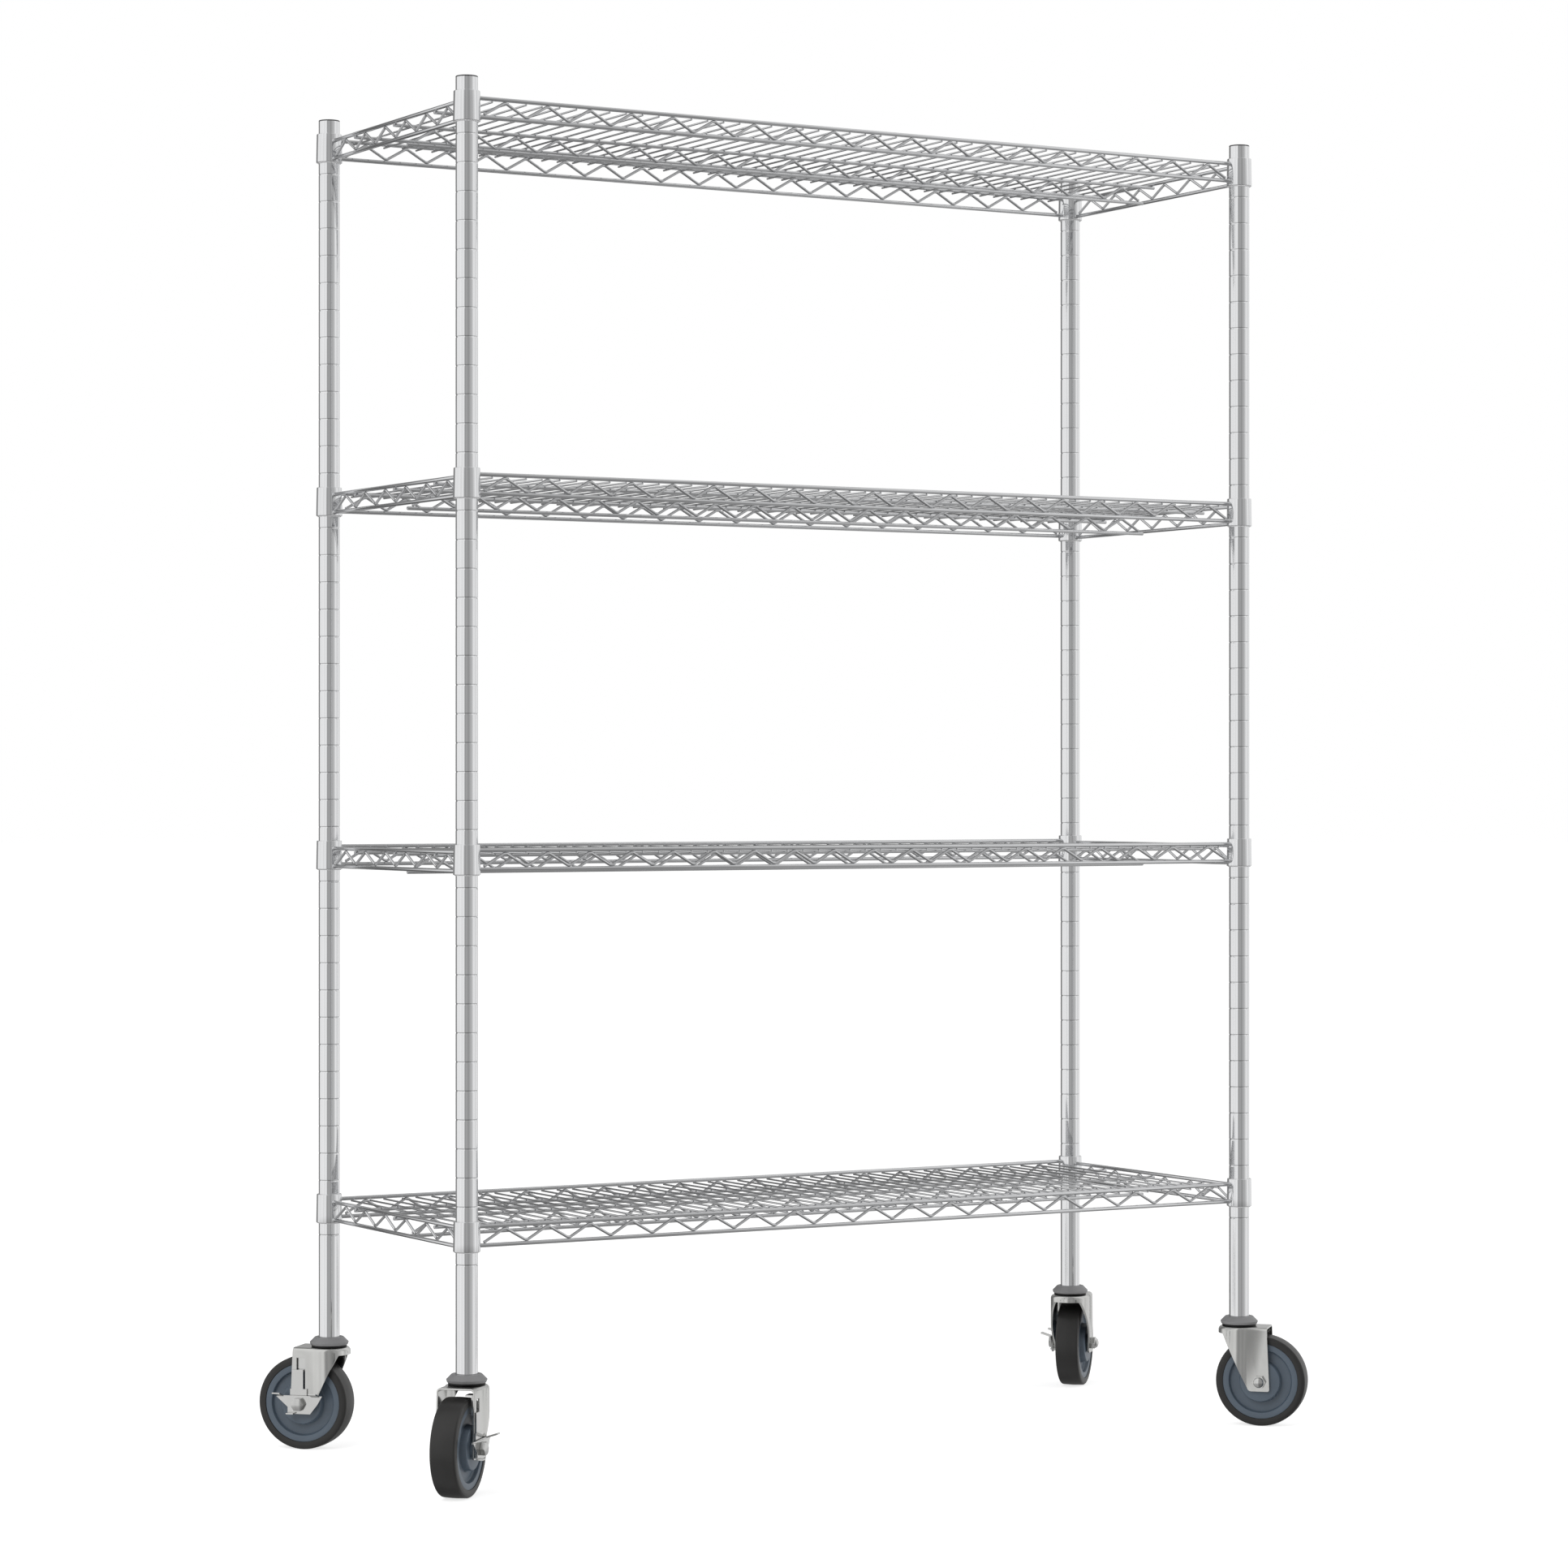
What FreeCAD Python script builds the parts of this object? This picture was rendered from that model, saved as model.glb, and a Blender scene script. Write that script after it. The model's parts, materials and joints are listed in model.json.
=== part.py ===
import FreeCAD, Part
import math
import os
import Sketcher

# Wire shelving rack on four braked swivel casters.
# Row frame: millimetres, +Z up, +X along the shelves, +Y from front to back.
# The origin is on the floor under the middle of the rack.

os.makedirs("parts", exist_ok=True)

SIZES = {
    # posts
    "span_x": 1186.4,
    "span_y": 421.6,
    "post_radius": 14.0,
    "post_wall": 1.5,
    "post_length": 1622.4,
    "groove_pitch": 36.25,
    "groove_depth": 0.5,
    "groove_width": 1.6,
    "groove_start": 137.4,
    "post_head": 20.0,
    "cap_disc": 1.6,
    "cap_plug": 14.0,
    "cap_wall": 2.0,
    "plug_clearance": 0.1,
    # shelf levels
    "shelf_count": 4,
    "first_groove": 1,
    # collars and their split sleeves
    "collar_height": 38.0,
    "collar_drop": 20.0,
    "collar_wall": 1.6,
    "collar_taper": 0.7,
    "sleeve_thin": 1.0,
    "sleeve_lip": 1.0,
    "sleeve_split": 1.2,
    "sleeve_clearance": 0.02,
    "sleeve_draft": 0.02,
    # trusses
    "chord_radius": 2.6,
    "chord_rise": 10.5,
    "snake_radius": 1.85,
    "snake_rise": 14.9,
    "snake_pitch": 60.0,
    "snake_margin": 23.2,
    "snake_flat": 4.0,
    "snake_bend": 4.0,
    # deck and stringers
    "deck_radius": 1.25,
    "deck_pitch": 23.75,
    "deck_margin": 30.0,
    "deck_front": 1.5,
    "deck_back": 6.0,
    "deck_spare": 0.3,
    "stringer_radius": 2.4,
    "stringer_bays": 2,
    "stringer_shift": 3.0,
    "stringer_end": 3.5,
    "lower_setback": 16.0,
    # caster: mount and swivel
    "stem_length": 60.0,
    "stem_clearance": 0.1,
    "wheel_gap": 9.5,
    "bumper_foot": 24.6,
    "bumper_radius": 26.0,
    "bumper_rim": 19.2,
    "bumper_height": 10.4,
    "bumper_lap": 1.2,
    "race_radius": 23.5,
    "race_height": 2.4,
    "race_gap": 0.4,
    "kingpin_radius": 6.0,
    "kingpin_head": 9.0,
    "kingpin_head_height": 3.5,
    "running_clearance": 0.05,
    "face_gap": 0.3,
    # caster: fork
    "trail": 31.8,
    "tyre_room": 5.8,
    "fork_wall": 2.5,
    "crown_bulge": 3.2,
    "flare": 0.35,
    "leg_foot": 13.5,
    "foot_front": 15.0,
    "foot_back": 14.2,
    "crown_back": 10.4,
    "skirt_height": 9.8,
    "skirt_corner": 20.0,
    "crown_bend": 5.5,
    "foot_front_bend": 6.0,
    "foot_back_bend": 3.0,
    "slot_width": 12.1,
    "slot_low": 19.0,
    "slot_high": 61.0,
    "slot_offset": 1.1,
    # caster: wheel and axle
    "wheel_radius": 62.5,
    "tyre_width": 34.0,
    "tyre_depth": 10.5,
    "tyre_shoulder": 5.5,
    "rim_width": 32.0,
    "rim_inner": 43.8,
    "web_width": 20.0,
    "boss_radius": 27.5,
    "boss_width": 41.0,
    "nave_radius": 13.0,
    "axle_radius": 5.0,
    "hex_flats": 16.0,
    "hex_height": 6.2,
    "nut_height": 6.5,
    "nut_dome": 4.0,
    "hole_clearance": 0.1,
    # caster: brake
    "brake_plate": 2.0,
    "strap_width": 16.0,
    "strap_shift": 2.7,
    "strap_foot_width": 23.6,
    "strap_foot_top": 20.0,
    "strap_foot_low": 11.0,
    "strap_exit": 45.5,
    "strap_tongue": 8.6,
    "strap_room": 2.3,
    "strap_travel": 1.5,
    "shoe_width": 15.0,
    "shoe_lift": 2.0,
    "shoe_reach": 10.0,
    "pedal_top": 11.5,
    "pedal_wing": 33.5,
    "pedal_waist": 15.5,
    "pedal_waist_drop": 4.0,
    "pedal_foot": 13.0,
    "pedal_cheek": 26.8,
    "pedal_tread_width": 11.0,
    "pedal_tread": 14.0,
    "pedal_tread_rise": 5.0,
    "pedal_tab": 7.0,
}

doc = FreeCAD.newDocument("WireShelvingRack")
sheet = doc.addObject("Spreadsheet::Sheet", "Sizes")
for row, (alias, value) in enumerate(SIZES.items(), start=1):
    sheet.set(f"A{row}", alias)
    sheet.set(f"B{row}", str(value))
    sheet.setAlias(f"B{row}", alias)
doc.recompute()


def size(alias):
    """Read one driving dimension from the sheet."""
    return float(sheet.get(alias))


def worked_out(formula):
    """Value of a formula of sheet sizes."""
    return float(sheet.evalExpression(named(formula)))


def named(text):
    """Turn the words of a formula that are size names into sheet references."""
    words = []
    word = ""
    for letter in text + " ":
        if letter.isalnum() or letter == "_":
            word += letter
            continue
        words.append(f"Sizes.{word}" if word in SIZES else word)
        words.append(letter)
        word = ""
    return "".join(words).strip()


def bind(thing, prop, formula):
    """Bind a property of a document object to a formula of sheet sizes."""
    thing.setExpression(prop, named(formula))


# ---------------------------------------------------------------- sketches


def new_body(name):
    """Start a body for one piece."""
    return doc.addObject("PartDesign::Body", name)


def origin_feature(body, role):
    """Find an origin plane or axis of a body."""
    return next(item for item in body.Origin.OriginFeatures if item.Role == role)


def new_sketch(body, name, plane, offset="0"):
    """Start a sketch on an origin plane, moved along the plane's normal."""
    sketch = body.newObject("Sketcher::SketchObject", name)
    sketch.AttachmentSupport = [(origin_feature(body, plane), "")]
    sketch.MapMode = "FlatFace"
    bind(sketch, "AttachmentOffset.Base.z", offset)
    return sketch


def fix_point(sketch, geometry, point, x, y, seed):
    """Tie a point of a sketch to two formulas."""
    for kind, formula, value in (("DistanceX", x, seed[0]), ("DistanceY", y, seed[1])):
        index = sketch.addConstraint(Sketcher.Constraint(kind, geometry, point, value))
        bind(sketch, f"Constraints[{index}]", formula)


def add_polygon(sketch, corners):
    """Draw a closed outline through corners given as pairs of formulas."""
    count = len(corners)
    turn = 2 * math.pi / count
    seeds = [(10 * math.cos(turn * i), 10 * math.sin(turn * i)) for i in range(count)]
    first = sketch.GeometryCount
    for i in range(count):
        ends = [FreeCAD.Vector(*seeds[j], 0) for j in (i, (i + 1) % count)]
        sketch.addGeometry(Part.LineSegment(*ends), False)
    for i in range(count):
        follower = first + (i + 1) % count
        sketch.addConstraint(Sketcher.Constraint("Coincident", first + i, 2, follower, 1))
    for i, (x, y) in enumerate(corners):
        fix_point(sketch, first + i, 1, x, y, seeds[i])


def add_circle(sketch, x, y, radius):
    """Draw a circle from formulas."""
    circle = Part.Circle(FreeCAD.Vector(1, 1, 0), FreeCAD.Vector(0, 0, 1), 1)
    index = sketch.addGeometry(circle, False)
    fix_point(sketch, index, 3, x, y, (1, 1))
    radial = sketch.addConstraint(Sketcher.Constraint("Radius", index, 1))
    bind(sketch, f"Constraints[{radial}]", radius)


# ---------------------------------------------------------------- features


def turned(body, name, corners):
    """Add a piece of revolution about Z from a half outline of (radius, height)."""
    sketch = new_sketch(body, name + "_outline", "XZ_Plane")
    add_polygon(sketch, corners)
    revolution = body.newObject("PartDesign::Revolution", name)
    revolution.Profile = sketch
    revolution.ReferenceAxis = (sketch, ["V_Axis"])
    revolution.Angle = 360
    return revolution


def extruded(kind, body, name, plane, corners, start, length, flip=False):
    """Add or cut a prism whose outline lies at the start distance on the plane's normal."""
    sketch = new_sketch(body, name + "_outline", plane, start)
    add_polygon(sketch, corners)
    feature = body.newObject(kind, name)
    feature.Profile = sketch
    feature.Reversed = flip
    bind(feature, "Length", length)
    return feature


def across(kind, body, name, corners, near, depth):
    """Add or cut a prism that runs along +Y from the near side for a depth."""
    pad = kind == "PartDesign::Pad"
    return extruded(kind, body, name, "XZ_Plane", corners, f"-({near})", depth, flip=pad)


def drilled(body, name, plane, x, y, radius):
    """Cut a round hole right through a body along a plane's normal."""
    sketch = new_sketch(body, name + "_outline", plane)
    add_circle(sketch, x, y, radius)
    pocket = body.newObject("PartDesign::Pocket", name)
    pocket.Profile = sketch
    pocket.Type = "ThroughAll"
    pocket.Midplane = True
    return pocket


def edges_where(shape, wanted):
    """Name the edges of a shape that a test picks out."""
    return [f"Edge{i}" for i, edge in enumerate(shape.Edges, start=1) if wanted(edge)]


def rounded(body, name, radius, wanted):
    """Fillet the edges of a body's last feature that a test picks out."""
    doc.recompute()
    last = body.Tip
    fillet = body.newObject("PartDesign::Fillet", name)
    fillet.Base = (last, edges_where(last.Shape, wanted))
    bind(fillet, "Radius", radius)
    doc.recompute()
    return fillet


def is_circle(edge, radius):
    """Tell whether an edge is a circle of a given radius."""
    return isinstance(edge.Curve, Part.Circle) and abs(edge.Curve.Radius - radius) < 1e-3


def runs_along_y(edge):
    """Tell whether an edge is straight and parallel to Y."""
    return isinstance(edge.Curve, Part.Line) and abs(abs(edge.Curve.Direction.y) - 1) < 1e-6


# ---------------------------------------------------------------- assembly


def place(thing, x, y, z):
    """Bind the position of an object to three formulas."""
    for letter, formula in zip("xyz", (x, y, z)):
        bind(thing, f"Placement.Base.{letter}", formula)


def group(name, links, x="0", y="0", z="0", angle=0.0, axis=(0, 0, 1)):
    """Set a copy of some objects at a position, turned about an axis."""
    compound = doc.addObject("Part::Compound", name)
    compound.Links = links
    turn = FreeCAD.Rotation(FreeCAD.Vector(*axis), angle)
    compound.Placement = FreeCAD.Placement(FreeCAD.Vector(0, 0, 0), turn)
    place(compound, x, y, z)
    return compound


def rod(name, radius, length, axis, x, y, z):
    """Make a straight round wire that starts at a point and runs along an axis."""
    wire = doc.addObject("Part::Cylinder", name)
    bind(wire, "Radius", radius)
    bind(wire, "Height", length)
    turn = FreeCAD.Rotation(FreeCAD.Vector(0, 0, 1), FreeCAD.Vector(*axis))
    wire.Placement = FreeCAD.Placement(FreeCAD.Vector(0, 0, 0), turn)
    place(wire, x, y, z)
    return wire


# ---------------------------------------------------------------- posts

CROWN_UNDER = "(wheel_radius * 2 + wheel_gap)"
CROWN_TOP = f"({CROWN_UNDER} + fork_wall)"
POST_FOOT = f"({CROWN_TOP} + race_gap + race_height - bumper_lap + bumper_height)"
POST_TOP = f"({POST_FOOT} + post_length)"
TUBE_BORE = "(post_radius - post_wall)"

groove_count = 1 + int((size("post_length") - size("groove_start") - size("post_head"))
                       // size("groove_pitch"))


def make_post():
    """Chromed tube with a ring groove at every pitch."""
    body = new_body("post_tube")
    turned(body, "tube", [
        (TUBE_BORE, "0"),
        ("post_radius", "0"),
        ("post_radius", "post_length"),
        (TUBE_BORE, "post_length"),
    ])
    low = "groove_start - groove_width / 2"
    high = "groove_start + groove_width / 2"
    floor = "post_radius - groove_depth"
    outline = new_sketch(body, "groove_outline", "XZ_Plane")
    add_polygon(outline, [
        (floor, low),
        ("post_radius + groove_depth", low),
        ("post_radius + groove_depth", high),
        (floor, high),
    ])
    groove = body.newObject("PartDesign::Groove", "ring_groove")
    groove.Profile = outline
    groove.ReferenceAxis = (outline, ["V_Axis"])
    groove.Angle = 360
    doc.recompute()
    rings = body.newObject("PartDesign::LinearPattern", "ring_grooves")
    rings.Originals = [groove]
    rings.Direction = (origin_feature(body, "Z_Axis"), [""])
    bind(rings, "Length", f"groove_pitch * {groove_count - 1}")
    rings.Occurrences = groove_count
    body.Tip = rings
    return body


def make_cap():
    """Thin dark disc on the post's end, with a hollow plug inside the tube."""
    plug = f"({TUBE_BORE} - plug_clearance)"
    body = new_body("cap_disc_and_plug")
    turned(body, "cap", [
        ("0", "0"),
        (f"{plug} - cap_wall", "0"),
        (f"{plug} - cap_wall", "-cap_plug"),
        (plug, "-cap_plug"),
        (plug, "0"),
        ("post_radius", "0"),
        ("post_radius", "cap_disc"),
        ("0", "cap_disc"),
    ])
    rounded(body, "cap_edge", "cap_disc / 2", lambda edge: is_circle(edge, size("post_radius"))
            and edge.BoundBox.ZMin > size("cap_disc") / 2)
    return body


# ---------------------------------------------------------------- collars

SLEEVE_BORE = "(post_radius + sleeve_clearance)"
COLLAR_TOP = "(collar_height - collar_drop)"
SLEEVE_TOP_RADIUS = f"({SLEEVE_BORE} + sleeve_thin)"
SLEEVE_LOW_RADIUS = f"({SLEEVE_TOP_RADIUS} + collar_taper)"
COLLAR_LOW_RADIUS = f"({SLEEVE_LOW_RADIUS} + collar_wall)"


def collar_radius(height):
    """Outer radius of the tapered collar at a height above the shelf's groove."""
    return f"({COLLAR_LOW_RADIUS} - collar_taper * (collar_drop + {height}) / collar_height)"


def make_collar():
    """Tapered tube, wider at its lower end."""
    body = new_body("collar_tube")
    turned(body, "collar", [
        (SLEEVE_LOW_RADIUS, "-collar_drop"),
        (COLLAR_LOW_RADIUS, "-collar_drop"),
        (f"{SLEEVE_TOP_RADIUS} + collar_wall", COLLAR_TOP),
        (SLEEVE_TOP_RADIUS, COLLAR_TOP),
    ])
    return body


def make_sleeve_half():
    """Half of the tapered sleeve, moulded with a draft, with a bead in the post's groove."""
    slope = "collar_taper / collar_height"
    lip_radius = f"{SLEEVE_LOW_RADIUS} + {slope} * sleeve_lip"
    bead = f"({SLEEVE_BORE} - groove_depth * 0.8)"
    bead_half = "groove_width * 0.4"
    draft = "sleeve_draft / (collar_height + sleeve_lip)"
    bore_at_bead = f"({SLEEVE_BORE} + {draft} * {COLLAR_TOP})"
    body = new_body("sleeve_shell")
    turned(body, "sleeve", [
        (f"{SLEEVE_BORE} + sleeve_draft", "-collar_drop - sleeve_lip"),
        (lip_radius, "-collar_drop - sleeve_lip"),
        (SLEEVE_TOP_RADIUS, COLLAR_TOP),
        (SLEEVE_BORE, COLLAR_TOP),
        (bore_at_bead, bead_half),
        (bead, bead_half),
        (bead, f"-({bead_half})"),
        (bore_at_bead, f"-({bead_half})"),
    ])
    reach = "post_radius * 2"
    extruded("PartDesign::Pocket", body, "split", "XY_Plane", [
        (f"-({reach})", "sleeve_split / 2"),
        (reach, "sleeve_split / 2"),
        (reach, f"-({reach})"),
        (f"-({reach})", f"-({reach})"),
    ], "collar_height * 2", "collar_height * 4")
    return body


# ---------------------------------------------------------------- trusses

CHORD_LOW = "(chord_rise - snake_rise - 2 * (chord_radius + snake_radius))"
SNAKE_LOW = f"({CHORD_LOW} + chord_radius + snake_radius)"
DECK_HEIGHT = "(chord_rise - chord_radius - deck_radius)"
STRINGER_HEIGHT = f"({DECK_HEIGHT} - deck_radius - stringer_radius)"
STRINGER_LOW = f"({STRINGER_HEIGHT} - snake_rise - 2 * (stringer_radius + snake_radius))"
# the end trusses rest on the stringers' ends, as the deck wires do
END_DROP = "2 * deck_radius"

long_bays = round((size("span_x") - 2 * size("snake_margin")) / size("snake_pitch"))
long_pitch = (size("span_x") - 2 * size("snake_margin")) / long_bays
end_bays = 2 * round((size("span_y") - 2 * size("snake_margin")) / (2 * size("snake_pitch")))
end_pitch = (size("span_y") - 2 * size("snake_margin")) / end_bays


def bent_path(points, bend):
    """Join points by straight runs and tangent arcs of one radius."""
    edges = []
    start = points[0]
    for before, corner, after in zip(points, points[1:], points[2:]):
        inward = (corner - before).normalize()
        outward = (after - corner).normalize()
        turn = inward.getAngle(outward)
        cut = bend * math.tan(turn / 2)
        entry = corner - inward * cut
        leave = corner + outward * cut
        bisector = (outward - inward).normalize()
        middle = corner + bisector * (bend / math.cos(turn / 2) - bend)
        edges.append(Part.makeLine(start, entry))
        edges.append(Part.Arc(entry, middle, leave).toShape())
        start = leave
    edges.append(Part.makeLine(start, points[-1]))
    return Part.Wire(edges)


def make_snake(name, bays, pitch):
    """Zigzag wire along X, from one lower bend to another, centred on X = 0."""
    flat = size("snake_flat") / 2
    low = 0.0
    high = size("snake_rise")
    left = -bays * pitch / 2
    points = [FreeCAD.Vector(left, 0, low)]
    for bay in range(bays):
        valley = left + bay * pitch
        peak = valley + pitch / 2
        points.append(FreeCAD.Vector(valley + flat, 0, low))
        points.append(FreeCAD.Vector(peak - flat, 0, high))
        points.append(FreeCAD.Vector(peak + flat, 0, high))
        points.append(FreeCAD.Vector(valley + pitch - flat, 0, low))
    points.append(FreeCAD.Vector(left + bays * pitch, 0, low))
    path = bent_path(points, size("snake_bend"))
    ring = Part.makeCircle(size("snake_radius"), points[0], FreeCAD.Vector(1, 0, 0))
    wire = doc.addObject("Part::Feature", name)
    wire.Shape = path.makePipeShell([Part.Wire(ring)], True, False)
    return wire


def chord(name, radius, span, height, setback):
    """Straight chord wire along X, centred on X = 0, short of each end by a setback."""
    length = f"{span} - 2 * ({setback})"
    return rod(name, radius, length, (1, 0, 0), f"{setback} - {span} / 2", "0", height)


def make_perimeter_truss(name, span, snake, drop="0"):
    """Truss between two collars: two chords and the snake wire between them."""
    top = f"chord_rise - {drop}"
    low = f"{CHORD_LOW} - {drop}"
    top_end = collar_radius(f"{top} - chord_radius")
    low_end = collar_radius(f"{low} - chord_radius")
    return [
        chord(name + "_top_chord", "chord_radius", span, top, top_end),
        chord(name + "_low_chord", "chord_radius", span, low, low_end),
        group(name + "_snake", [snake], z=f"{SNAKE_LOW} - {drop}"),
    ]


def make_middle_truss(snake):
    """Truss under the deck, whose top chord carries the deck wires."""
    low_snake = f"{STRINGER_LOW} + stringer_radius + snake_radius"
    return [
        chord("middle_top_chord", "stringer_radius", "span_x", STRINGER_HEIGHT, "(-stringer_end)"),
        chord("middle_low_chord", "stringer_radius", "span_x", STRINGER_LOW, "lower_setback"),
        group("middle_snake", [snake], z=low_snake),
    ]


# ---------------------------------------------------------------- deck


def near_a_bend(x):
    """Tell whether a deck wire at x would run into an upper bend of the snake wire."""
    rise = size("snake_rise")
    run = long_pitch / 2 - size("snake_flat")
    slope = rise / run
    touch = size("snake_radius") + size("deck_radius") + size("deck_spare")
    above = size("snake_radius") - size("deck_radius")
    reach = size("snake_flat") / 2 + (touch * math.hypot(1, slope) - above) / slope
    first_peak = -(long_bays - 1) * long_pitch / 2
    offset = (x - first_peak) % long_pitch
    return min(offset, long_pitch - offset) < reach


def make_deck():
    """Deck wires from front to back, and the two quarter stringers under them."""
    usable = size("span_x") - 2 * size("deck_margin")
    gaps = int(usable // size("deck_pitch"))
    wires = []
    for i in range(gaps + 1):
        step = i - gaps / 2
        if near_a_bend(step * size("deck_pitch")):
            front = back = "(-snake_radius)"
        else:
            front = "deck_front"
            back = "deck_back"
        wires.append(rod(f"deck_wire_{i + 1}", "deck_radius", f"span_y + {front} + {back}",
                         (0, 1, 0), f"{step} * deck_pitch", f"-span_y / 2 - {front}", DECK_HEIGHT))
    offset = size("stringer_bays") * end_pitch - size("stringer_shift")
    for name, side in (("front", -1), ("back", 1)):
        wire = chord(f"{name}_stringer", "stringer_radius", "span_x", STRINGER_HEIGHT,
                     "(-stringer_end)")
        wires.append(group(f"{name}_stringer_place", [wire], y=str(side * offset)))
    return wires


# ---------------------------------------------------------------- casters

LEG_LOW = "(wheel_radius - leg_foot)"
FORK_INSIDE = "(tyre_width / 2 + tyre_room)"
FORK_HALF = f"({FORK_INSIDE} + fork_wall)"
CROWN_RADIUS = f"({FORK_HALF} + crown_bulge)"
STRAP_NEAR = f"({FORK_HALF} + face_gap)"
PEDAL_NEAR = f"(max({STRAP_NEAR} + brake_plate; {CROWN_RADIUS}) + face_gap)"
HEAD_NEAR = f"({PEDAL_NEAR} + brake_plate + face_gap)"


def make_stem():
    """Stem in the post's foot, with the upper race and the kingpin below it."""
    stem = f"({TUBE_BORE} - stem_clearance)"
    race_low = f"({CROWN_TOP} + race_gap)"
    race_top = f"({race_low} + race_height)"
    head_top = f"({CROWN_UNDER} - face_gap)"
    body = new_body("stem_and_race")
    turned(body, "stem", [
        ("0", f"{head_top} - kingpin_head_height"),
        ("kingpin_head", f"{head_top} - kingpin_head_height"),
        ("kingpin_head", head_top),
        ("kingpin_radius", head_top),
        ("kingpin_radius", race_low),
        ("race_radius", race_low),
        ("race_radius", race_top),
        (stem, race_top),
        (stem, f"{POST_FOOT} + stem_length"),
        ("0", f"{POST_FOOT} + stem_length"),
    ])
    return body


def make_bumper():
    """Grey ring that flares out under the post and curls in at its lower edge."""
    low = f"({POST_FOOT} - bumper_height + bumper_lap)"
    top = f"({POST_FOOT} + bumper_lap)"
    body = new_body("bumper_ring")
    turned(body, "bumper", [
        (TUBE_BORE, low),
        ("bumper_foot", low),
        ("bumper_radius", f"{low} + bumper_height * 0.35"),
        ("bumper_rim", top),
        ("post_radius + plug_clearance", top),
        ("post_radius + plug_clearance", POST_FOOT),
        (TUBE_BORE, POST_FOOT),
    ])
    return body


def add_fork_plan(sketch, inset, back):
    """Draw the fork's plan taken in by an inset: crown arc, two flares, two legs."""
    radius = f"({CROWN_RADIUS} - {inset})"
    half = f"({FORK_HALF} - {inset})"
    lean = "sqrt(1 + flare * flare)"
    touch = (f"{radius} * flare / {lean}", f"{radius} / {lean}")
    start = f"{radius} * flare / {lean} + ({radius} / {lean} - {half}) / flare"
    corners = [touch, (start, half), (back, half), (back, f"-{half}"), (start, f"-{half}")]
    seeds = []
    for corner in corners:
        seeds.append(tuple(worked_out(formula) for formula in corner))
    seeds.append((seeds[0][0], -seeds[0][1]))
    turn = math.atan2(seeds[0][1], seeds[0][0])
    circle = Part.Circle(FreeCAD.Vector(0, 0, 0), FreeCAD.Vector(0, 0, 1), worked_out(radius))
    arc = sketch.addGeometry(Part.ArcOfCircle(circle, turn, 2 * math.pi - turn), False)
    for near, far in zip(seeds, seeds[1:]):
        ends = (FreeCAD.Vector(*near, 0), FreeCAD.Vector(*far, 0))
        sketch.addGeometry(Part.LineSegment(*ends), False)
    last = arc + len(corners)
    for line in range(arc + 1, last):
        sketch.addConstraint(Sketcher.Constraint("Coincident", line, 2, line + 1, 1))
    sketch.addConstraint(Sketcher.Constraint("Coincident", arc, 1, arc + 1, 1))
    sketch.addConstraint(Sketcher.Constraint("Coincident", arc, 2, last, 2))
    sketch.addConstraint(Sketcher.Constraint("Coincident", arc, 3, -1, 1))
    for line, (corner, seed) in enumerate(zip(corners, seeds), start=arc + 1):
        fix_point(sketch, line, 1, *corner, seed)
    level = sketch.addConstraint(Sketcher.Constraint("DistanceY", last, 2, seeds[-1][1]))
    bind(sketch, f"Constraints[{level}]", f"-{radius} / {lean}")


def make_fork_blank(body):
    """Deep-drawn blank of the fork: crown and two legs, open at the back."""
    plan = new_sketch(body, "outer_plan", "XY_Plane", LEG_LOW)
    add_fork_plan(plan, "0", "(trail + foot_back)")
    outside = body.newObject("PartDesign::Pad", "outer_form")
    outside.Profile = plan
    bind(outside, "Length", f"{CROWN_TOP} - {LEG_LOW}")
    top = worked_out(CROWN_TOP)
    under = worked_out(CROWN_UNDER)
    back = size("trail") + size("foot_back")

    def on_rim(edge, level):
        box = edge.BoundBox
        return abs(box.ZMin - level) < 1e-6 and box.ZLength < 1e-6 and box.XMin < back - 1e-6

    rounded(body, "crown_rim", "crown_bend", lambda edge: on_rim(edge, top))
    hollow_plan = new_sketch(body, "inner_plan", "XY_Plane", f"{LEG_LOW} - fork_wall")
    add_fork_plan(hollow_plan, "fork_wall", "(trail + foot_back + fork_wall)")
    hollow = body.newObject("PartDesign::Pocket", "inner_form")
    hollow.Profile = hollow_plan
    hollow.Reversed = True
    bind(hollow, "Length", f"{CROWN_UNDER} - {LEG_LOW} + fork_wall")
    rounded(body, "inner_rim", "crown_bend - fork_wall", lambda edge: on_rim(edge, under))


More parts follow.
